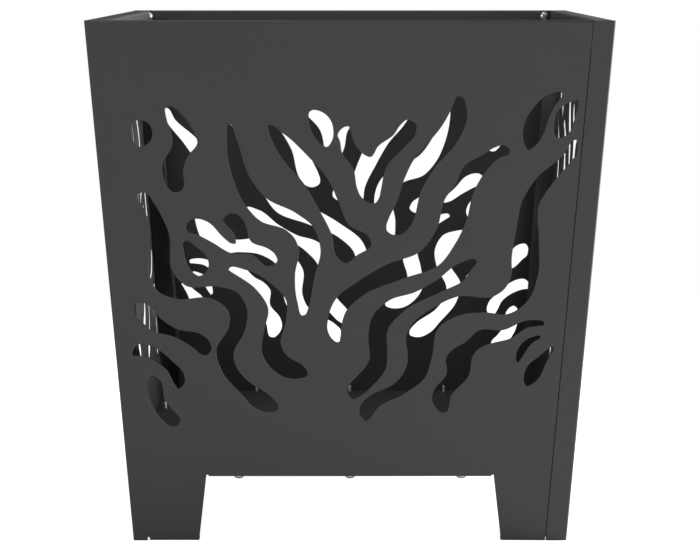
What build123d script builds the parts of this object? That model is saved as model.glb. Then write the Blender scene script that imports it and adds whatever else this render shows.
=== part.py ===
from math import atan2, cos, degrees, sin
import os

from build123d import *

# A square fire pit of folded sheet steel that stands open on four short legs.
# Four identical panels lean outward and close the box in a pinwheel: each panel
# wraps round its own left corner and bolts to the next one under the rim.
# Left and right are those of someone who looks at a panel from outside.
# The origin is on the floor under the middle, +Z is up and the front faces -Y.

# Outer size, between the outer faces
top_width = 480
bottom_width = 410
height = 490

# Sheet and folds; radii are those of the outer side of a fold
sheet = 1.2
fold_radius = 2
cut_overrun = 3

# Corners: the strip round the left corner, the seam, and the two upright flanges
wrap_width = 20
seam_gap = 0.5
return_depth = 18
edge_depth = 20
upright_foot = 3
upright_top_drop = 28

# Rim: a level flange with a lip turned down, and the tab that reaches the next panel
rim_width = 18.5
lip_height = 13.5
lip_setback = 2
tab_length = 14.5
tab_head_room = 2

# Legs, their inward feet and the relief notches beside the folds
leg_foot_width = 62.2
leg_head_width = 74.2
foot_depth = 19.5
foot_chamfer = 6
foot_setback = 13.6
relief_width = 1.8
relief_height = 3.2

# Floor plate on the bottom flanges
floor_level = 62.9
floor_flange_depth = 20
plate_sheet = 1.2
plate_clearance = 0.2
plate_notch_clearance = 1.5

# M5 pan head screws, which hold the floor plate from below and the rim from inside
thread_diameter = 5
thread_clearance = 0.1
hole_clearance = 0.5
head_diameter = 9.5
head_height = 3.7
head_chamfer = 1.3
head_sides = 12
shank_sides = 8
screw_length = 10
screw_pitch = 105
screw_inset = 9.5
rim_bolt_inset = 25
rim_bolt_drop = 6.3
nut_width = 8
nut_height = 4

# The flames lie in a field on the panel's outer face, measured up the slope
flame_left_margin = 16.5
flame_right_margin = 8.5
flame_top_margin = 61.25
flame_foot_margin = 46.8
cut_turn = 42

# Flame-shaped slots, each a closed run of knots as shares of the field's width and
# height, from its lower left corner. A smooth curve goes through the knots.
flame_shares = (
    # Left edge, from the top
    ((0.016, 0.870), (0.030, 0.909), (0.050, 0.904), (0.0625, 0.870), (0.047, 0.836), (0.028, 0.832)),
    ((0.025, 0.694), (0.046, 0.699), (0.062, 0.672), (0.080, 0.630), (0.095, 0.582), (0.1015, 0.470),
     (0.126, 0.431), (0.200, 0.425), (0.240, 0.410), (0.264, 0.358), (0.260, 0.300), (0.233, 0.220),
     (0.258, 0.152), (0.313, 0.100), (0.3315, 0.058), (0.308, 0.048), (0.250, 0.101), (0.205, 0.174),
     (0.194, 0.235), (0.222, 0.305), (0.218, 0.358), (0.188, 0.387), (0.108, 0.388), (0.071, 0.406),
     (0.0485, 0.462), (0.051, 0.530), (0.046, 0.628), (0.033, 0.669)),
    ((0.014, 0.350), (0.022, 0.378), (0.046, 0.371), (0.073, 0.331), (0.108, 0.300), (0.160, 0.285),
     (0.184, 0.237), (0.171, 0.219), (0.145, 0.240), (0.100, 0.275), (0.050, 0.295), (0.028, 0.323)),
    ((0.008, 0.224), (0.023, 0.254), (0.060, 0.243), (0.100, 0.200), (0.1245, 0.142), (0.112, 0.120),
     (0.085, 0.172), (0.055, 0.203), (0.018, 0.218)),
    ((0.0405, 0.140), (0.052, 0.160), (0.072, 0.140), (0.0785, 0.090), (0.100, 0.051), (0.1135, 0.026),
     (0.103, 0.006), (0.070, 0.028), (0.047, 0.075)),
    # Upper row, from the left
    ((0.0965, 0.948), (0.130, 0.922), (0.150, 0.881), (0.160, 0.847), (0.138, 0.803), (0.1275, 0.758),
     (0.128, 0.713), (0.109, 0.6995), (0.087, 0.728), (0.081, 0.770), (0.104, 0.840), (0.093, 0.910)),
    ((0.229, 0.898), (0.243, 0.860), (0.273, 0.745), (0.305, 0.688), (0.370, 0.643), (0.407, 0.606),
     (0.4265, 0.535), (0.413, 0.455), (0.401, 0.370), (0.389, 0.3365), (0.375, 0.375), (0.3685, 0.455),
     (0.3775, 0.535), (0.355, 0.585), (0.295, 0.616), (0.264, 0.658), (0.237, 0.732), (0.225, 0.800),
     (0.2225, 0.860)),
    ((0.3155, 0.895), (0.345, 0.872), (0.400, 0.805), (0.440, 0.745), (0.468, 0.668), (0.487, 0.608),
     (0.527, 0.578), (0.538, 0.552), (0.505, 0.515), (0.483, 0.493), (0.462, 0.510), (0.450, 0.575),
     (0.421, 0.653), (0.390, 0.724), (0.345, 0.795), (0.317, 0.862)),
    ((0.408, 0.938), (0.437, 0.927), (0.455, 0.880), (0.441, 0.831), (0.412, 0.862), (0.4005, 0.910)),
    ((0.470, 0.882), (0.488, 0.891), (0.497, 0.855), (0.508, 0.828), (0.535, 0.804), (0.551, 0.834),
     (0.585, 0.868), (0.615, 0.911), (0.634, 0.897), (0.610, 0.832), (0.570, 0.772), (0.558, 0.705),
     (0.545, 0.668), (0.524, 0.675), (0.506, 0.710), (0.497, 0.769), (0.473, 0.812), (0.469, 0.845)),
    ((0.728, 0.978), (0.745, 0.927), (0.727, 0.854), (0.675, 0.770), (0.648, 0.710), (0.625, 0.607),
     (0.597, 0.575), (0.571, 0.588), (0.574, 0.623), (0.592, 0.673), (0.610, 0.745), (0.630, 0.798),
     (0.645, 0.822), (0.690, 0.895), (0.713, 0.952)),
    # The three long tongues on the right
    ((0.838, 0.824), (0.828, 0.837), (0.780, 0.811), (0.740, 0.780), (0.717, 0.718), (0.700, 0.688),
     (0.678, 0.590), (0.645, 0.530), (0.575, 0.493), (0.515, 0.447), (0.457, 0.385), (0.441, 0.325),
     (0.447, 0.275), (0.464, 0.258), (0.471, 0.295), (0.481, 0.348), (0.520, 0.398), (0.600, 0.444),
     (0.690, 0.492), (0.717, 0.540), (0.745, 0.615), (0.759, 0.695), (0.790, 0.765), (0.812, 0.797)),
    ((0.767, 0.504), (0.735, 0.497), (0.680, 0.444), (0.635, 0.410), (0.580, 0.387), (0.540, 0.338),
     (0.5305, 0.290), (0.532, 0.205), (0.505, 0.157), (0.484, 0.110), (0.490, 0.093), (0.540, 0.128),
     (0.570, 0.180), (0.5735, 0.230), (0.573, 0.290), (0.610, 0.352), (0.690, 0.408), (0.740, 0.441),
     (0.755, 0.470)),
    ((0.980, 0.853), (0.955, 0.811), (0.895, 0.740), (0.867, 0.680), (0.853, 0.585), (0.845, 0.520),
     (0.843, 0.450), (0.812, 0.400), (0.732, 0.397), (0.665, 0.356), (0.617, 0.292), (0.617, 0.200),
     (0.590, 0.138), (0.535, 0.100), (0.511, 0.045), (0.525, 0.022), (0.550, 0.058), (0.610, 0.103),
     (0.658, 0.155), (0.673, 0.220), (0.685, 0.299), (0.730, 0.338), (0.785, 0.347), (0.840, 0.343),
     (0.880, 0.378), (0.903, 0.450), (0.905, 0.560), (0.904, 0.665), (0.930, 0.722), (0.970, 0.788),
     (0.985, 0.838)),
    # Right edge, from the top
    ((0.949, 0.987), (0.922, 0.984), (0.887, 0.945), (0.865, 0.856), (0.876, 0.824), (0.906, 0.857),
     (0.925, 0.924), (0.938, 0.957)),
    ((0.933, 0.887), (0.944, 0.856), (0.964, 0.869), (0.980, 0.925), (0.985, 0.965), (0.957, 0.955)),
    ((0.920, 0.318), (0.880, 0.325), (0.830, 0.297), (0.778, 0.297), (0.747, 0.262), (0.704, 0.220),
     (0.705, 0.170), (0.679, 0.121), (0.675, 0.073), (0.699, 0.046), (0.715, 0.096), (0.752, 0.152),
     (0.763, 0.218), (0.795, 0.252), (0.840, 0.265), (0.880, 0.302)),
    ((0.912, 0.278), (0.875, 0.263), (0.858, 0.223), (0.859, 0.198), (0.876, 0.222), (0.895, 0.258)),
    ((0.941, 0.243), (0.905, 0.214), (0.877, 0.169), (0.882, 0.128), (0.908, 0.149), (0.928, 0.205)),
    # Small flames between the left S and the upper row
    ((0.131, 0.598), (0.145, 0.623), (0.180, 0.615), (0.212, 0.572), (0.238, 0.551), (0.232, 0.587),
     (0.212, 0.622), (0.230, 0.640), (0.260, 0.615), (0.275, 0.557), (0.310, 0.538), (0.331, 0.498),
     (0.310, 0.484), (0.274, 0.518), (0.228, 0.523), (0.190, 0.552), (0.150, 0.579)),
    ((0.129, 0.560), (0.155, 0.541), (0.181, 0.487), (0.160, 0.455), (0.135, 0.483), (0.126, 0.520)),
    ((0.2245, 0.478), (0.262, 0.475), (0.312, 0.440), (0.350, 0.385), (0.350, 0.325), (0.338, 0.255),
     (0.355, 0.216), (0.380, 0.197), (0.397, 0.162), (0.372, 0.149), (0.323, 0.172), (0.296, 0.222),
     (0.300, 0.293), (0.310, 0.355), (0.285, 0.413), (0.240, 0.458)),
)

# Worked out from the sizes above
lean = atan2((top_width - bottom_width) / 2, height)
level_sheet = sheet / cos(lean)
lean_run = (top_width - bottom_width) / 2
middle_reach = min(top_width, bottom_width) / 2 - wrap_width / 2
end_reach = abs(lean_run) + wrap_width
slope_length = height / cos(lean)
upright_top = height - upright_top_drop
rim_bend_foot = height - fold_radius * (1 + sin(lean))
lip_plane = top_width / 2 - rim_width
lip_foot = height - lip_height
lip_start = -lip_plane + lip_setback
tab_plane = lip_plane + sheet
bolt_place = top_width / 2 - rim_bolt_inset
bolt_level = height - rim_bolt_drop
plate_level = floor_level + sheet
inner_radius = fold_radius - sheet
lower_bend_height = fold_radius * (1 - sin(lean))
screw_row = bottom_width / 2 + lean_run * floor_level / height - screw_inset
screw_places = {"left": -screw_pitch, "middle": 0, "right": screw_pitch}
hole_radius = (thread_diameter + hole_clearance) / 2
tapped_radius = (thread_diameter + thread_clearance) / 2


def half_width(level):
    """Half the width between the outer faces at a level above the ground."""
    return bottom_width / 2 + lean_run * level / height


def seam(level):
    """Where a panel's right edge stands, as seen from its outside."""
    return half_width(level) - wrap_width - seam_gap


def leg_edge(level):
    """Where the inner edge of a panel's right leg stands."""
    foot = half_width(0) - leg_foot_width
    head = half_width(floor_level) - leg_head_width
    return foot + (head - foot) * level / floor_level


def fold_wall(foot, top, has_uprights):
    """The face and its wrap between two levels, and the two upright flanges where asked for."""
    half = half_width(foot)
    edge = seam(foot)
    rise = (top - foot) / height
    low = (Align.MIN, Align.MIN)
    with BuildPart() as wall:
        with BuildSketch(Plane.XY.offset(foot)) as left_end:
            with Locations((-half, -half)):
                Rectangle(end_reach, level_sheet, align=low)
                Rectangle(level_sheet, wrap_width, align=low)
            if has_uprights:
                with Locations((-half, -half + wrap_width - level_sheet)):
                    Rectangle(return_depth, level_sheet, align=low)
        with BuildSketch(Plane.XY.offset(foot)) as right_end:
            with Locations((edge - end_reach, -half)):
                Rectangle(end_reach, level_sheet, align=low)
            if has_uprights:
                with Locations((edge - level_sheet, -half)):
                    Rectangle(level_sheet, edge_depth, align=low)
        for end, run in ((left_end, -lean_run), (right_end, lean_run)):
            corner_line = Vector(run, -lean_run, height)
            extrude(end.sketch, amount=rise * corner_line.length, dir=corner_line)
        with BuildSketch(Plane.YZ.offset(-middle_reach)) as middle:
            with BuildLine():
                Polyline(
                    (-half, foot),
                    (-half_width(top), top),
                    (-half_width(top) + level_sheet, top),
                    (-half + level_sheet, foot),
                    close=True,
                )
            make_face()
        extrude(middle.sketch, amount=2 * middle_reach - wrap_width - seam_gap)

        # Each fold is rounded inside and outside, about the corner line and along each flange
        level = (foot + top) / 2
        half = half_width(level)
        folds = [(-half, -half, level)]
        if has_uprights:
            folds += [(-half, -half + wrap_width, level), (seam(level), -half, level)]
        for place, radius in ((1, inner_radius), (0, fold_radius)):
            for fold in folds:
                uprights = wall.edges().filter_by(Plane.XY, reverse=True)
                fillet(uprights.sort_by_distance(fold)[place], radius=radius)
    return wall.part


def add_rim(start, end, corners):
    """The upper edge's fold from one place along the panel to another."""
    with BuildSketch(Plane.YZ.offset(start)) as profile:
        with BuildLine():
            FilletPolyline(*corners, radius=fold_radius)
            offset(amount=sheet, side=Side.RIGHT)
        make_face()
    extrude(profile.sketch, amount=end - start)


def add_lower_fold(level, depth, start, end):
    """A flange folded inward from the panel's lower edge, from one place along it to another."""
    stub = level + lower_bend_height + sheet / 2
    corners = ((-half_width(stub), stub), (-half_width(level), level), (-half_width(level) + depth, level))
    with BuildSketch(Plane.YZ.offset(start)) as profile:
        with BuildLine():
            FilletPolyline(*corners, radius=fold_radius)
            offset(amount=sheet, side=Side.LEFT)
        make_face()
    extrude(profile.sketch, amount=end - start)


def cut_face(*corners):
    """Cut a polygon, given along X and up Z, out of the panel's face."""
    with BuildSketch(Plane.XZ.offset(bottom_width / 2 - fold_radius)) as window:
        with BuildLine():
            Polyline(*corners, close=True)
        make_face()
    extrude(window.sketch, amount=lean_run + fold_radius + cut_overrun, mode=Mode.SUBTRACT)


def cut_path(knots):
    """Corners of the short straight cuts along the smooth closed curve through the knots."""
    curve = Edge.make_spline([Vector(*knot) for knot in knots], periodic=True)
    chords = [abs(Vector(*after) - Vector(*knot)) for knot, after in zip(knots, knots[1:] + knots[:1])]
    corners = []
    start = 0
    for chord in chords:
        end = start + chord / sum(chords)
        before = curve.tangent_at(start, position_mode=PositionMode.PARAMETER)
        turn = before.get_angle(curve.tangent_at(end, position_mode=PositionMode.PARAMETER))
        cuts = 1 + int(turn / cut_turn)
        for step in range(cuts):
            place = start + (end - start) * step / cuts
            corners.append(curve.position_at(place, position_mode=PositionMode.PARAMETER))
        start = end
    return corners


def add_screw(seat):
    """A screw with its head seated under the plane and its shank along the plane's normal."""
    with BuildSketch(seat) as head:
        RegularPolygon(head_diameter / 2, head_sides)
    extrude(head.sketch, amount=-head_height)
    crown = faces(Select.LAST).sort_by(Axis(seat.origin, seat.z_dir))[0]
    chamfer(crown.edges(), head_chamfer)
    with BuildSketch(seat) as shank:
        RegularPolygon(thread_diameter / 2, shank_sides)
    extrude(shank.sketch, amount=screw_length)


# The face with its wrap, in three bands: only the middle one has the upright flanges
walls = [
    fold_wall(0, upright_foot, False),
    fold_wall(upright_foot, upright_top, True),
    fold_wall(upright_top, height, False),
]

# One panel, made as the front one
with BuildPart() as front_panel:
    for wall in walls:
        add(wall)

    # The rim: its flange is welded to the top of the wrap, and the lip starts past the corner
    stub = rim_bend_foot - cut_overrun
    rim_start = -top_width / 2 + fold_radius
    corner_start = -top_width / 2 + inner_radius
    above_rim = height + cut_overrun
    cut_face(
        (rim_start, rim_bend_foot),
        (top_width / 2 + cut_overrun, rim_bend_foot),
        (top_width / 2 + cut_overrun, above_rim),
        (rim_start, above_rim),
    )
    flat_rim = ((-half_width(stub), stub), (-top_width / 2, height), (-lip_plane, height))
    add_rim(rim_start, lip_start, flat_rim)
    add_rim(lip_start, top_width / 2, flat_rim + ((-lip_plane, lip_foot),))
    with BuildSketch(Plane.XY.offset(height - sheet)):
        with BuildLine():
            Polyline(
                (corner_start, corner_start),
                (rim_start, corner_start),
                (rim_start, -lip_plane),
                (corner_start, -lip_plane),
                close=True,
            )
        make_face()
    extrude(amount=sheet)
    cut_face(
        (seam(lip_foot), lip_foot),
        (top_width / 2 + cut_overrun, lip_foot),
        (top_width / 2 + cut_overrun, above_rim),
        (seam(above_rim), above_rim),
    )

    # The opening between the legs with its two relief notches, and the flange for the floor plate
    notch_top = floor_level + relief_height
    notch_side = leg_edge(notch_top)
    flange_end = notch_side - relief_width
    flange_bend = floor_level + lower_bend_height
    cut_face(
        (-leg_edge(-cut_overrun), -cut_overrun),
        (leg_edge(-cut_overrun), -cut_overrun),
        (notch_side, notch_top),
        (flange_end, notch_top),
        (flange_end, flange_bend),
        (-flange_end, flange_bend),
        (-flange_end, notch_top),
        (-notch_side, notch_top),
    )
    add_lower_fold(floor_level, floor_flange_depth, -flange_end, flange_end)

    # The two feet, one from its relief notch and one from the seam to the inner edge of the leg
    foot_notch = -half_width(0) + foot_setback
    foot_start = foot_notch + relief_width
    cut_face(
        (foot_notch, -cut_overrun),
        (foot_start, -cut_overrun),
        (foot_start, relief_height),
        (foot_notch, relief_height),
    )
    left_leg = (foot_start - relief_width, -leg_edge(0) + relief_width)
    right_leg = (leg_edge(0) - relief_width, seam(0) + relief_width)
    for start, end in (left_leg, right_leg):
        cut_face((start, -cut_overrun), (end, -cut_overrun), (end, lower_bend_height),
                 (start, lower_bend_height))
    add_lower_fold(0, foot_depth, foot_start, -leg_edge(0))
    add_lower_fold(0, foot_depth, leg_edge(0), seam(0))
    foot_edges = front_panel.edges().filter_by(Axis.Z).filter_by_position(Axis.Z, 0, sheet)
    chamfer(foot_edges.group_by(Axis.Y)[-1], length=foot_chamfer)

    # The lip runs on under the next panel's rim and turns into a tab behind that panel's lip
    with BuildSketch(Plane.XY.offset(lip_foot)):
        with BuildLine():
            FilletPolyline(
                (lip_plane - tab_length, -tab_plane),
                (tab_plane + sheet, -tab_plane),
                (tab_plane + sheet, -lip_plane + tab_length),
                radius=fold_radius,
            )
            offset(amount=sheet, side=Side.LEFT)
        make_face()
    extrude(amount=lip_height - tab_head_room)

    # Screw holes in the lip, the tab and the flange for the floor plate
    with BuildSketch(Plane.XZ.offset(lip_plane)):
        with Locations((-bolt_place, bolt_level)):
            RegularPolygon(hole_radius, shank_sides)
    extrude(amount=sheet, mode=Mode.SUBTRACT)
    with BuildSketch(Plane.YZ.offset(tab_plane)):
        with Locations((-bolt_place, bolt_level)):
            RegularPolygon(hole_radius, shank_sides)
    extrude(amount=sheet, mode=Mode.SUBTRACT)
    with BuildSketch(Plane.XY.offset(floor_level)):
        with Locations(*[(place, -screw_row) for place in screw_places.values()]):
            RegularPolygon(hole_radius, shank_sides)
    extrude(amount=sheet, mode=Mode.SUBTRACT)

    # The flames
    face_plane = Plane(origin=(0, -bottom_width / 2, 0), x_dir=(1, 0, 0), z_dir=(0, -cos(lean), -sin(lean)))
    field_left = -(top_width + bottom_width) / 4 + flame_left_margin
    field_width = (top_width + bottom_width) / 2 - flame_left_margin - flame_right_margin
    field_foot = floor_level / cos(lean) + flame_foot_margin
    field_height = slope_length - flame_top_margin - field_foot
    with BuildSketch(face_plane):
        for knot_shares in flame_shares:
            knots = [(field_left + x * field_width, field_foot + y * field_height) for x, y in knot_shares]
            with BuildLine():
                Polyline(*cut_path(knots), close=True)
            make_face()
    extrude(amount=fold_radius, both=True, mode=Mode.SUBTRACT)

# The floor plate lies on the four flanges, notched round the upright flanges in the corners
plate_half = half_width(plate_level) - level_sheet - inner_radius - plate_clearance
notched_half = half_width(plate_level) - wrap_width - seam_gap - level_sheet - plate_notch_clearance
with BuildPart() as floor_plate:
    with BuildSketch(Plane.XY.offset(plate_level)):
        Rectangle(2 * plate_half, 2 * notched_half)
        Rectangle(2 * notched_half, 2 * plate_half)
        with PolarLocations(screw_row, 4):
            with Locations(*[(0, place) for place in screw_places.values()]):
                RegularPolygon(tapped_radius, shank_sides, mode=Mode.SUBTRACT)
    extrude(amount=plate_sheet)
floor_plate.part.label = "floor_plate"

# The fasteners of the front: three from below into the floor plate, one with a nut in the rim
pieces = {"panel": front_panel.part}
for screw_name, place in screw_places.items():
    with BuildPart() as floor_screw:
        add_screw(Plane.XY.offset(floor_level).shift_origin((place, -screw_row, floor_level)))
    pieces[f"floor_screw_{screw_name}"] = floor_screw.part

with BuildPart() as rim_bolt:
    add_screw(Plane.XZ.offset(lip_plane).shift_origin((-bolt_place, -lip_plane, bolt_level)))
pieces["rim_bolt"] = rim_bolt.part

with BuildPart() as rim_nut:
    with BuildSketch(Plane.XZ.offset(tab_plane + sheet)):
        with Locations((-bolt_place, bolt_level)):
            RegularPolygon(nut_width / 2, side_count=6, major_radius=False)
            RegularPolygon(tapped_radius, shank_sides, mode=Mode.SUBTRACT)
    extrude(amount=nut_height)
pieces["rim_nut"] = rim_nut.part

# Each side repeats the front, a quarter turn on
os.makedirs("parts", exist_ok=True)
export_step(floor_plate.part, "parts/floor_plate.step")
for quarter, side in enumerate(("front", "right", "back", "left")):
    for piece_name, piece in pieces.items():
        with BuildPart() as side_piece:
            add(piece, rotation=(0, 0, quarter * 90))
        side_piece.part.label = f"{side}_{piece_name}"
        export_step(side_piece.part, f"parts/{side}_{piece_name}.step")
print(f"lean {degrees(lean):.3f} degrees, face length {slope_length:.1f} mm")
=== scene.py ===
import math

import bmesh
import bpy
from mathutils import Matrix, Vector
from mathutils.geometry import interpolate_bezier


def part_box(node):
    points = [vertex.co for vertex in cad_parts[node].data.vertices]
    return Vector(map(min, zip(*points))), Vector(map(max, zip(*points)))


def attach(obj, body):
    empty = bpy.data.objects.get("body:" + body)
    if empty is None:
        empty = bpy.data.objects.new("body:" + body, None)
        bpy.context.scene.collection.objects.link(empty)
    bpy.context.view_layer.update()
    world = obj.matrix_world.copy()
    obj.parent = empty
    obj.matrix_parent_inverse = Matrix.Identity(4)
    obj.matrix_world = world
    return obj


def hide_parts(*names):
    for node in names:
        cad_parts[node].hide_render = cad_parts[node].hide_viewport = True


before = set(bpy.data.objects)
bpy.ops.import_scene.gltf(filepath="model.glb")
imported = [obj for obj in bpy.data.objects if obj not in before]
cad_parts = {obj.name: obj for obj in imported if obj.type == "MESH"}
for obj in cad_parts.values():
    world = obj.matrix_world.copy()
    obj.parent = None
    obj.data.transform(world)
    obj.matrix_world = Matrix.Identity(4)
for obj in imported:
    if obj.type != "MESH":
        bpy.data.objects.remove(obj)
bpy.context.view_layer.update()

# Camera: a long lens before the middle of the front, a little higher than the rim and
# tilted down, so that the inside of the rim shows above the front and the floor plate
# shows through the flames.
camera_distance = 2.2543
camera_height = 0.5377
camera_pitch = math.radians(7.89)
focal_pixels = 2222
picture_width = 700
sensor_width = 36

camera_data = bpy.data.cameras.new("camera")
camera_data.sensor_width = sensor_width
camera_data.lens = focal_pixels / picture_width * sensor_width
camera_data.clip_start = 0.05
camera_data.clip_end = 100
camera = bpy.data.objects.new("camera", camera_data)
camera.location = (0, -camera_distance, camera_height)
camera.rotation_euler = (math.pi / 2 - camera_pitch, 0, 0)
bpy.context.scene.collection.objects.link(camera)
bpy.context.scene.camera = camera
bpy.context.scene.view_settings.view_transform = "Standard"


# Shader maths: an expression on sockets adds its Math nodes, and every other node comes
# from the node method of the finish that it belongs to.
class Socket:
    """A shader socket that Python operators work on."""

    def __init__(self, tree, socket):
        self.tree = tree
        self.socket = socket

    def math(self, operation, *values):
        node = self.tree.nodes.new("ShaderNodeMath")
        node.operation = operation
        for place, value in enumerate(values):
            if isinstance(value, Socket):
                self.tree.links.new(value.socket, node.inputs[place])
            else:
                node.inputs[place].default_value = value
        return Socket(self.tree, node.outputs[0])

    def __add__(self, other):
        return self.math("ADD", self, other)

    def __radd__(self, other):
        return self.math("ADD", other, self)

    def __sub__(self, other):
        return self.math("SUBTRACT", self, other)

    def __rsub__(self, other):
        return self.math("SUBTRACT", other, self)

    def __mul__(self, other):
        return self.math("MULTIPLY", self, other)

    def __rmul__(self, other):
        return self.math("MULTIPLY", other, self)


class Finish:
    """The shader nodes of a new material or world."""

    def __init__(self, data, output="OutputMaterial"):
        self.data = data
        self.data.use_nodes = True
        self.tree = self.data.node_tree
        self.tree.nodes.clear()
        self.output = self.tree.nodes.new("ShaderNode" + output)

    def node(self, kind, settings=None, output=0, places=(), **values):
        """Add a node: places fill its inputs in their order, values fill them by name."""
        node = self.tree.nodes.new("ShaderNode" + kind)
        for name, value in (settings or {}).items():
            setattr(node, name, value)
        named = [(name.replace("_", " "), value) for name, value in values.items()]
        for place, value in list(enumerate(places)) + named:
            if isinstance(value, Socket):
                self.tree.links.new(value.socket, node.inputs[place])
            else:
                node.inputs[place].default_value = value
        return Socket(self.tree, node.outputs[output])

    def surface(self, shader):
        self.tree.links.new(shader.socket, self.output.inputs["Surface"])


# Ground: a wide pale floor that keeps a faint shadow close to the fire pit and is plain
# white further out, under an even white surround. Under the fire pit the floor's colour
# is painted darker, a painted shade, so that light bouncing off it is dimmer and the slots stay dark
# inside.
floor_radius = 60
floor_corners = 96
shadow_near = 0.3
shadow_far = 1.6
shadow_depth = 0.1
floor_colour = 0.9
floor_gain = 7
painted_shade_near = 0.17
painted_shade_far = 0.3
painted_shade_level = 0.25
surround_light = 0.2

floor_mesh = bmesh.new()
bmesh.ops.create_circle(floor_mesh, cap_ends=True, segments=floor_corners, radius=floor_radius)
floor_data = bpy.data.meshes.new("floor")
floor_mesh.to_mesh(floor_data)
floor_mesh.free()
floor = bpy.data.objects.new("floor", floor_data)
bpy.context.scene.collection.objects.link(floor)

pale = Finish(bpy.data.materials.new("pale_floor"))
seen = pale.node("LightPath", output="Is Camera Ray")
from_middle = pale.node(
    "VectorMath", {"operation": "LENGTH"}, output="Value",
    Vector=pale.node("TexCoord", output="Object"),
)
near = pale.node("MapRange", {"interpolation_type": "SMOOTHSTEP"}, Value=from_middle,
                 From_Min=shadow_near, From_Max=shadow_far, To_Min=shadow_depth, To_Max=0.0)
# Painted shade: the floor's colour is darker close under the fire pit and full further out
painted_shade_under_pit = pale.node("MapRange", {"interpolation_type": "SMOOTHSTEP"}, Value=from_middle,
                From_Min=painted_shade_near, From_Max=painted_shade_far, To_Min=painted_shade_level, To_Max=1.0)
paleness = floor_colour * painted_shade_under_pit + floor_gain * seen
paint = pale.node("CombineColor", Red=paleness, Green=paleness, Blue=paleness)
lit = pale.node("BsdfDiffuse", Color=paint)
white = pale.node("Emission", Color=(1, 1, 1, 1), Strength=1.0)
pale.surface(pale.node("MixShader", places=(seen * (1 - near), lit, white)))
floor_data.materials.append(pale.data)

surround = Finish(bpy.data.worlds.new("surround"), "OutputWorld")
bpy.context.scene.world = surround.data
strength = surround.node("LightPath", output="Is Camera Ray") * (1 - surround_light) + surround_light
surround.surface(surround.node("Background", Color=(1, 1, 1, 1), Strength=strength))

# Studio lamps: five broad soft discs that all face the middle of the fire pit. Two stand
# before its corners, a strong low one on the right lights the left lip of the rim, and
# faint ones stand behind and high above. Each has its place, width and watts.
lamp_aim = Vector((0, 0, 0.25))
lamps = (
    ("key_lamp", (2.4, -3.0, 1.4), 2.0, 27),
    ("fill_lamp", (-2.8, -2.6, 1.5), 2.0, 34),
    ("right_lamp", (3.2, 0.7, 0.7), 2.0, 260),
    ("back_lamp", (1.3, 3.1, 0.8), 1.6, 6),
    ("top_lamp", (-0.4, -0.2, 3.4), 1.8, 21),
)
for lamp_name, lamp_place, lamp_width, watts in lamps:
    lamp_data = bpy.data.lights.new(lamp_name, "AREA")
    lamp_data.shape = "DISK"
    lamp_data.size = lamp_width
    lamp_data.energy = watts
    lamp = bpy.data.objects.new(lamp_name, lamp_data)
    lamp.location = lamp_place
    lamp.rotation_euler = (lamp_aim - Vector(lamp_place)).to_track_quat("-Z", "Y").to_euler()
    bpy.context.scene.collection.objects.link(lamp)

# Floor plate: a notched square of steel sheet that lies on the panels' lower flanges and
# is screwed to them from below. It has the same anthracite powder coat as the panels,
# with a fine grain and a faint unevenness in tone and gloss.
coat_colour = (0.050, 0.0455, 0.047)
coat_darkest = 0.92
coat_tone_spread = 0.16
coat_roughness = 0.44
coat_roughness_spread = 0.16
coat_grain_roughness = 0.08
coat_relief = 0.0003
coat_relief_strength = 0.22

coat = Finish(bpy.data.materials.new("anthracite_powder_coat"))
coat_place = coat.node("TexCoord", output="Object")
grain = coat.node("TexNoise", output="Fac", Vector=coat_place, Scale=900.0, Detail=3.0, Roughness=0.6)
peel = coat.node("TexNoise", output="Fac", Vector=coat_place, Scale=260.0, Detail=2.0, Roughness=0.5)
cloud = coat.node("TexNoise", output="Fac", Vector=coat_place, Scale=7.0, Detail=4.0, Roughness=0.55)
speck = coat.node("TexVoronoi", output="Distance", Vector=coat_place, Scale=420.0)
tone = coat_darkest + coat_tone_spread * (0.65 * cloud + 0.35 * grain)
shade = coat.node("VectorMath", {"operation": "SCALE"}, Vector=coat_colour, Scale=tone)
coat_gloss = coat_roughness + coat_roughness_spread * cloud + coat_grain_roughness * (grain - 0.5)
relief = 0.6 * peel + 0.3 * grain + 0.1 * speck
coat_bump = coat.node("Bump", Strength=coat_relief_strength, Distance=coat_relief, Height=relief)
coat.surface(coat.node("BsdfPrincipled", Base_Color=shade, Roughness=coat_gloss, Normal=coat_bump))

floor_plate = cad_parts["floor_plate"]
floor_plate.data.materials.clear()
floor_plate.data.materials.append(coat.data)

# Side panels: four alike, a quarter turn apart, folded from coated steel sheet after the
# flames are cut by laser, and bolted to each other under the rim. The cuts run in smooth
# curves with the burr taken off their edges, and the rest is as it was folded.
sheet = 0.0012
burr = 0.00012
coat_build = 0.0003
cut_step = 0.0012
fewest_steps = 2
flames_low, flames_high = 0.1, 0.45
across_sheet = 0.3
along_sheet = 0.9999
close = 2e-5
welded = 1e-6
wrap_width = 0.02
seam_gap = 0.0005
fold_radius = 0.002
fold_slack = 5e-5
seam_sharpness = 0.3

panel_mesh = bmesh.new()
panel_mesh.from_mesh(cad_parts["front_panel"].data)
bmesh.ops.remove_doubles(panel_mesh, verts=panel_mesh.verts, dist=welded)
outward = max(panel_mesh.faces, key=lambda face: face.calc_area()).normal.copy()
if outward.y > 0:
    outward.negate()
outer_level = max(vert.co.dot(outward) for vert in panel_mesh.verts)


def depth(vert):
    """How deep a point of the panel lies under its outer face."""
    return outer_level - vert.co.dot(outward)


def half_width(level):
    """Half the width between the outer faces at a level."""
    return (outer_level - level * outward.z) / -outward.y


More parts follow.
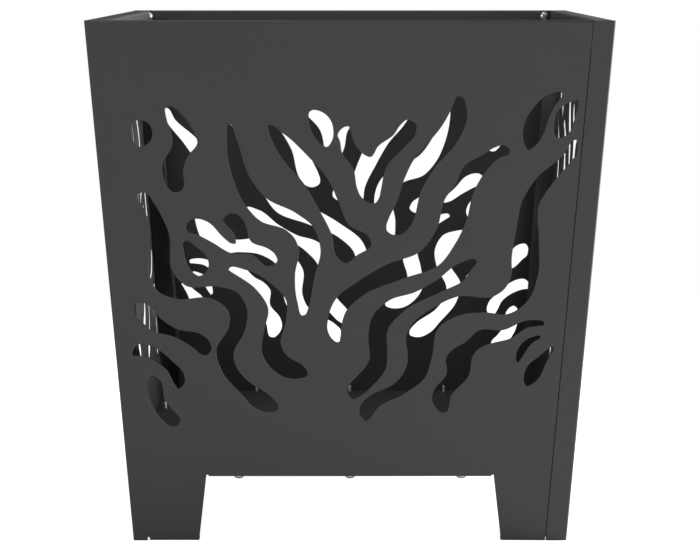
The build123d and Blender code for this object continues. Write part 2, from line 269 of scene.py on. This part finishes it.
# The straight cuts, and the runs of corners that they leave round each flame
cut_faces = [
    face for face in panel_mesh.faces
    if abs(face.normal.dot(outward)) < across_sheet
    and flames_low < face.calc_center_median().z < flames_high
    and all(depth(vert) < sheet + close for vert in face.verts)
]
flame_edges = dict.fromkeys(
    edge for face in cut_faces for edge in face.edges
    if all(depth(vert) < close for vert in edge.verts)
)
flames = []
while flame_edges:
    run = list(flame_edges.popitem()[0].verts)
    ahead = [edge for edge in run[-1].link_edges if edge in flame_edges]
    while ahead:
        del flame_edges[ahead[0]]
        run.append(ahead[0].other_vert(run[-1]))
        ahead = [edge for edge in run[-1].link_edges if edge in flame_edges]
    flames.append([vert.co.copy() for vert in run[:-1]])

# The cuts and both flat faces of the sheet come away, to be made again with the curves
flat_faces = [
    face for face in panel_mesh.faces
    if abs(face.normal.dot(outward)) > along_sheet
    and (all(depth(vert) < close for vert in face.verts)
         or all(abs(depth(vert) - sheet) < close for vert in face.verts))
]
bmesh.ops.delete(panel_mesh, geom=cut_faces + flat_faces, context="FACES")

for face in panel_mesh.faces:
    face.smooth = False
outer_edges = [
    edge for edge in panel_mesh.edges
    if edge.is_boundary and all(depth(vert) < close for vert in edge.verts)
]
inner_edges = [
    edge for edge in panel_mesh.edges
    if edge.is_boundary and all(abs(depth(vert) - sheet) < close for vert in edge.verts)
]

for knots in flames:
    # A smooth closed run through the corners of the straight cuts
    count = len(knots)
    gaps = [(knots[(i + 1) % count] - knots[i]).length for i in range(count)]
    slopes = []
    for i in range(count):
        before, after = gaps[i - 1], gaps[i]
        rise_before = (knots[i] - knots[i - 1]) / before
        rise_after = (knots[(i + 1) % count] - knots[i]) / after
        slopes.append((rise_before * after + rise_after * before) / (before + after))
    curve = []
    for i in range(count):
        j = (i + 1) % count
        steps = max(fewest_steps, round(gaps[i] / cut_step))
        curve += interpolate_bezier(
            knots[i], knots[i] + slopes[i] * gaps[i] / 3,
            knots[j] - slopes[j] * gaps[i] / 3, knots[j], steps + 1,
        )[:-1]
    enclosed = sum((a.cross(b).dot(outward) for a, b in zip(curve, curve[1:] + curve[:1])), 0.0)
    if enclosed < 0:
        curve.reverse()
    size = len(curve)
    sides = [
        (curve[(i + 1) % size] - curve[i - 1]).normalized().cross(outward)
        for i in range(size)
    ]

    # The ring goes through the sheet in three steps: one burr, the cut and the other burr
    ring = [
        panel_mesh.verts.new(point + aside * (burr - coat_build))
        for point, aside in zip(curve, sides)
    ]
    ring_edges = [panel_mesh.edges.new((ring[i - 1], ring[i])) for i in range(size)]
    outer_edges += ring_edges
    for shift, aside_shift in ((burr, -burr), (sheet - 2 * burr, 0), (burr, burr)):
        grown = bmesh.ops.extrude_edge_only(panel_mesh, edges=ring_edges)["geom"]
        order = {}
        for vert in (item for item in grown if isinstance(item, bmesh.types.BMVert)):
            order[vert.co.copy().freeze()] = vert
        ring = [order[vert.co.copy().freeze()] for vert in ring]
        for vert, aside in zip(ring, sides):
            vert.co += aside * aside_shift - outward * shift
        on_ring = set(ring)
        ring_edges = [
            item for item in grown if isinstance(item, bmesh.types.BMEdge)
            and item.verts[0] in on_ring and item.verts[1] in on_ring
        ]
        for face in (item for item in grown if isinstance(item, bmesh.types.BMFace)):
            face.smooth = True
    inner_edges += ring_edges

for edges, facing in ((outer_edges, outward), (inner_edges, -outward)):
    filled = bmesh.ops.triangle_fill(panel_mesh, use_beauty=True, edges=edges, normal=facing)["geom"]
    for face in (item for item in filled if isinstance(item, bmesh.types.BMFace)):
        face.smooth = False
        if face.normal.dot(facing) < 0:
            face.normal_flip()
bmesh.ops.recalc_face_normals(panel_mesh, faces=panel_mesh.faces)

# Where two panels meet, the coat fills the folds' outer curve out to a crisp seam
for vert in panel_mesh.verts:
    half = half_width(vert.co.z)
    for corner in (
        Vector((half - wrap_width - seam_gap, -half)), Vector((-half, wrap_width - half)),
    ):
        to_corner = corner - vert.co.xy
        inward = (abs(to_corner.x), abs(to_corner.y))
        from_centre = math.hypot(fold_radius - inward[0], fold_radius - inward[1])
        if max(inward) < fold_radius + close and abs(from_centre - fold_radius) < fold_slack:
            vert.co.xy = corner - to_corner * seam_sharpness

for quarter, side in enumerate(("front", "right", "back", "left")):
    panel_data = bpy.data.meshes.new(side + "_folded_panel")
    panel_mesh.to_mesh(panel_data)
    panel_data.transform(Matrix.Rotation(quarter * math.pi / 2, 4, "Z"))
    panel_data.materials.append(coat.data)
    panel = bpy.data.objects.new(side + "_folded_panel", panel_data)
    bpy.context.scene.collection.objects.link(panel)
    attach(panel, "root")
    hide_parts(side + "_panel")
panel_mesh.free()

# Screws and bolts: pan heads with a cross recess, of steel, upset, rolled and zinc plated.
# Twelve hold the floor plate from below and four hold the rim from inside, all 10 mm long.
zinc_tint = (0.72, 0.72, 0.7)
zinc_darkest = 0.82
zinc_tone_spread = 0.32
zinc_roughness = 0.2
zinc_roughness_spread = 0.2
zinc_relief = 0.0001
zinc_relief_strength = 0.15

zinc = Finish(bpy.data.materials.new("bright_zinc"))
zinc_place = zinc.node("TexCoord", output="Object")
zinc_cloud = zinc.node("TexNoise", output="Fac", Vector=zinc_place, Scale=700.0, Detail=3.0, Roughness=0.6)
zinc_colour = zinc.node("VectorMath", {"operation": "SCALE"}, Vector=zinc_tint,
                        Scale=zinc_darkest + zinc_tone_spread * zinc_cloud)
zinc_bump = zinc.node("Bump", Strength=zinc_relief_strength, Distance=zinc_relief, Height=zinc_cloud)
zinc.surface(zinc.node("BsdfPrincipled", Base_Color=zinc_colour, Metallic=1.0,
                       Roughness=zinc_roughness + zinc_roughness_spread * zinc_cloud, Normal=zinc_bump))

head_radius = 0.00475
head_height = 0.0037
head_side = 0.001
head_edge = 0.0001
dome_degrees = 10
screw_length = 0.01
thread_radius = 0.0025
coarse_pitch, coarse_root = 0.0016, 0.0017
fine_pitch, fine_root = 0.0008, 0.00205
flank_share, crest_share = 0.4, 0.1
thread_foot = 0.00047
pitches_below = 3
spare_turns = 5
point_length = 0.0009
point_narrowing = 0.2
round_steps = 40
thread_steps = 28
thread_welded = 2e-6
shortest_edge = 1e-7
crease = math.radians(32)
recess_reach = 0.00245
recess_half_width = 0.0006
recess_depth = 0.0023
recess_start = 0.0003
recess_taper = 0.42
first_twist, hole_twist, side_twist = math.radians(23), math.radians(71), math.radians(37)


def lathe(profile, steps):
    """A closed solid of revolution about Z through the profile's (radius, height) points."""
    shape = bmesh.new()
    verts = [shape.verts.new((radius, 0, level)) for radius, level in profile]
    edges = [shape.edges.new(pair) for pair in zip(verts, verts[1:])]
    bmesh.ops.spin(
        shape, geom=verts + edges, cent=(0, 0, 0), axis=(0, 0, 1), dvec=(0, 0, 0),
        angle=2 * math.pi, steps=steps, use_merge=True, use_duplicate=False,
    )
    bmesh.ops.remove_doubles(shape, verts=shape.verts, dist=welded)
    bmesh.ops.recalc_face_normals(shape, faces=shape.faces)
    return shape


def to_object(name, shape):
    """Make an object of a bmesh and free the bmesh."""
    data = bpy.data.meshes.new(name)
    shape.to_mesh(data)
    shape.free()
    made = bpy.data.objects.new(name, data)
    bpy.context.scene.collection.objects.link(made)
    return made


def combine(base, parts):
    """The plated mesh of an object after each (operation, other object); all are removed."""
    for operation, part in parts:
        change = base.modifiers.new(operation, "BOOLEAN")
        change.operation = operation
        change.solver = "EXACT"
        change.object = part
    graph = bpy.context.evaluated_depsgraph_get()
    data = bpy.data.meshes.new_from_object(base.evaluated_get(graph))
    for spare in [base] + [part for operation, part in parts]:
        bpy.data.objects.remove(spare)
    joined = bmesh.new()
    joined.from_mesh(data)
    bmesh.ops.dissolve_degenerate(joined, edges=joined.edges, dist=shortest_edge)
    joined.to_mesh(data)
    joined.free()
    for polygon in data.polygons:
        polygon.use_smooth = True
    data.set_sharp_from_angle(angle=crease)
    data.materials.clear()
    data.materials.append(zinc.data)
    return data


def place_fastener(node_name, data, form, placing):
    """Put a copy of a fastener's mesh where the plain solid of a node stands."""
    data = data.copy()
    data.name = node_name + form
    data.transform(placing)
    fastener = bpy.data.objects.new(node_name + form, data)
    bpy.context.scene.collection.objects.link(fastener)
    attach(fastener, "root")
    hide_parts(node_name)


def pan_head_screw(pitch, root_radius):
    """A screw along +Z with its head's underside on the XY plane and a thread of this pitch."""
    # The head is flat under, with a short straight side and a crown in an even curve
    dome = head_height - head_side
    profile = [(0, 0), (head_radius - head_edge, 0), (head_radius, -head_edge)]
    for angle in range(0, 90, dome_degrees):
        rise = math.radians(angle)
        profile.append((head_radius * math.cos(rise), -head_side - dome * math.sin(rise)))
    profile.append((0, -head_height))
    head = to_object("screw_head", lathe(profile, round_steps))

    # The cross recess narrows to a blunt point
    cutter = bmesh.new()
    corners = []
    for arm in range(4):
        arm_turn = Matrix.Rotation(arm * math.pi / 2, 3, "Z")
        for along, across in ((recess_half_width, -1), (recess_reach, -1), (recess_reach, 1)):
            arm_corner = Vector((along, across * recess_half_width, -head_height - recess_start))
            corners.append(cutter.verts.new(arm_turn @ arm_corner))
    mouth = cutter.faces.new(corners)
    grown = bmesh.ops.extrude_face_region(cutter, geom=[mouth], use_keep_orig=True)["geom"]
    deep = [item for item in grown if isinstance(item, bmesh.types.BMVert)]
    bmesh.ops.translate(cutter, vec=(0, 0, recess_depth + recess_start), verts=deep)
    bmesh.ops.scale(cutter, vec=(recess_taper, recess_taper, 1), verts=deep)
    bmesh.ops.recalc_face_normals(cutter, faces=cutter.faces)
    recess = to_object("cross_recess", cutter)

    # The thread's ridge winds up the shank, which is trimmed level and narrows to its point
    thread = bmesh.new()
    ridge = (
        (root_radius, 0), (thread_radius, flank_share), (thread_radius, flank_share + crest_share),
        (root_radius, 2 * flank_share + crest_share), (root_radius, 1),
    )
    verts = [thread.verts.new((radius, 0, (share - pitches_below) * pitch)) for radius, share in ridge]
    edges = [thread.edges.new(pair) for pair in zip(verts, verts[1:])]
    turns = math.ceil(screw_length / pitch) + spare_turns
    bmesh.ops.spin(
        thread, geom=verts + edges, cent=(0, 0, 0), axis=(0, 0, 1),
        dvec=(0, 0, pitch / thread_steps), angle=2 * math.pi * turns,
        steps=thread_steps * turns, use_duplicate=False,
    )
    bmesh.ops.remove_doubles(thread, verts=thread.verts, dist=thread_welded)
    for level, facing in ((-thread_foot, -1), (screw_length, 1)):
        everything = thread.verts[:] + thread.edges[:] + thread.faces[:]
        trimmed = bmesh.ops.bisect_plane(
            thread, geom=everything, plane_co=(0, 0, level), plane_no=(0, 0, facing),
            clear_outer=True,
        )
        rim = [item for item in trimmed["geom_cut"] if isinstance(item, bmesh.types.BMEdge)]
        bmesh.ops.edgeloop_fill(thread, edges=rim)
    bmesh.ops.recalc_face_normals(thread, faces=thread.faces)
    for vert in thread.verts:
        taper = max(0, (vert.co.z - screw_length + point_length) / point_length)
        vert.co.xy *= 1 - point_narrowing * taper
    shank = to_object("threaded_shank", thread)
    return combine(head, [("DIFFERENCE", recess), ("UNION", shank)])


# The floor screws cut their own coarse thread in the plate; the rim bolts take nuts
coarse_screw = pan_head_screw(coarse_pitch, coarse_root)
fine_screw = pan_head_screw(fine_pitch, fine_root)
seat_shift = (head_height + screw_length) / 2 - head_height
holes = ("floor_screw_left", "floor_screw_middle", "floor_screw_right", "rim_bolt")
for quarter, side in enumerate(("front", "right", "back", "left")):
    side_turn = Matrix.Rotation(quarter * math.pi / 2, 4, "Z")
    for number, hole in enumerate(holes):
        low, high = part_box(side + "_" + hole)
        middle = side_turn.inverted() @ ((low + high) / 2)
        twist = Matrix.Rotation(first_twist + hole_twist * number + side_twist * quarter, 4, "Z")
        if hole == "rim_bolt":
            lying = Matrix.Rotation(math.pi / 2, 4, "X") @ twist
            placing = Matrix.Translation(middle + Vector((0, seat_shift, 0))) @ lying
            place_fastener(side + "_" + hole, fine_screw, "_threaded", side_turn @ placing)
        else:
            placing = Matrix.Translation(middle - Vector((0, 0, seat_shift))) @ twist
            place_fastener(side + "_" + hole, coarse_screw, "_threaded", side_turn @ placing)

# Rim nuts: hexagon nuts of zinc plated steel on the bolts behind the tabs, pressed and then
# tapped, with the corners of both faces turned off and the bore opened at both ends.
nut_half_flats = 0.004
nut_height = 0.004
nut_turning = 0.98
nut_slant = math.radians(30)
nut_steps = 24
bore_mouth = 0.0004
bore_overrun = 0.001

hexagon = bmesh.new()
corner_radius = nut_half_flats / math.cos(math.pi / 6)
bmesh.ops.create_cone(
    hexagon, cap_ends=True, segments=6, radius1=corner_radius, radius2=corner_radius,
    depth=nut_height,
)
for facing in (-1, 1):
    for step in range(nut_steps):
        spoke_angle = 2 * math.pi * (step + 0.5) / nut_steps
        spoke = Vector((math.cos(spoke_angle), math.sin(spoke_angle), 0))
        everything = hexagon.verts[:] + hexagon.edges[:] + hexagon.faces[:]
        trimmed = bmesh.ops.bisect_plane(
            hexagon, geom=everything, dist=shortest_edge, clear_outer=True,
            plane_co=spoke * nut_half_flats * nut_turning + Vector((0, 0, facing * nut_height / 2)),
            plane_no=spoke * math.tan(nut_slant) + Vector((0, 0, facing)),
        )
        rim = [item for item in trimmed["geom_cut"] if isinstance(item, bmesh.types.BMEdge)]
        if rim:
            bmesh.ops.edgeloop_fill(hexagon, edges=rim)
bmesh.ops.recalc_face_normals(hexagon, faces=hexagon.faces)
half_height = nut_height / 2
open_radius = thread_radius + bore_mouth + bore_overrun
bore = lathe((
    (0, -half_height - bore_overrun), (open_radius, -half_height - bore_overrun),
    (thread_radius, bore_mouth - half_height), (thread_radius, half_height - bore_mouth),
    (open_radius, half_height + bore_overrun), (0, half_height + bore_overrun),
), round_steps)
nut = combine(to_object("hexagon", hexagon), [("DIFFERENCE", to_object("nut_bore", bore))])
for quarter, side in enumerate(("front", "right", "back", "left")):
    low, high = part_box(side + "_rim_nut")
    lying = Matrix.Rotation(quarter * math.pi / 2, 4, "Z") @ Matrix.Rotation(math.pi / 2, 4, "X")
    place_fastener(side + "_rim_nut", nut, "_chamfered", Matrix.Translation((low + high) / 2) @ lying)
for spare in (coarse_screw, fine_screw, nut):
    bpy.data.meshes.remove(spare)
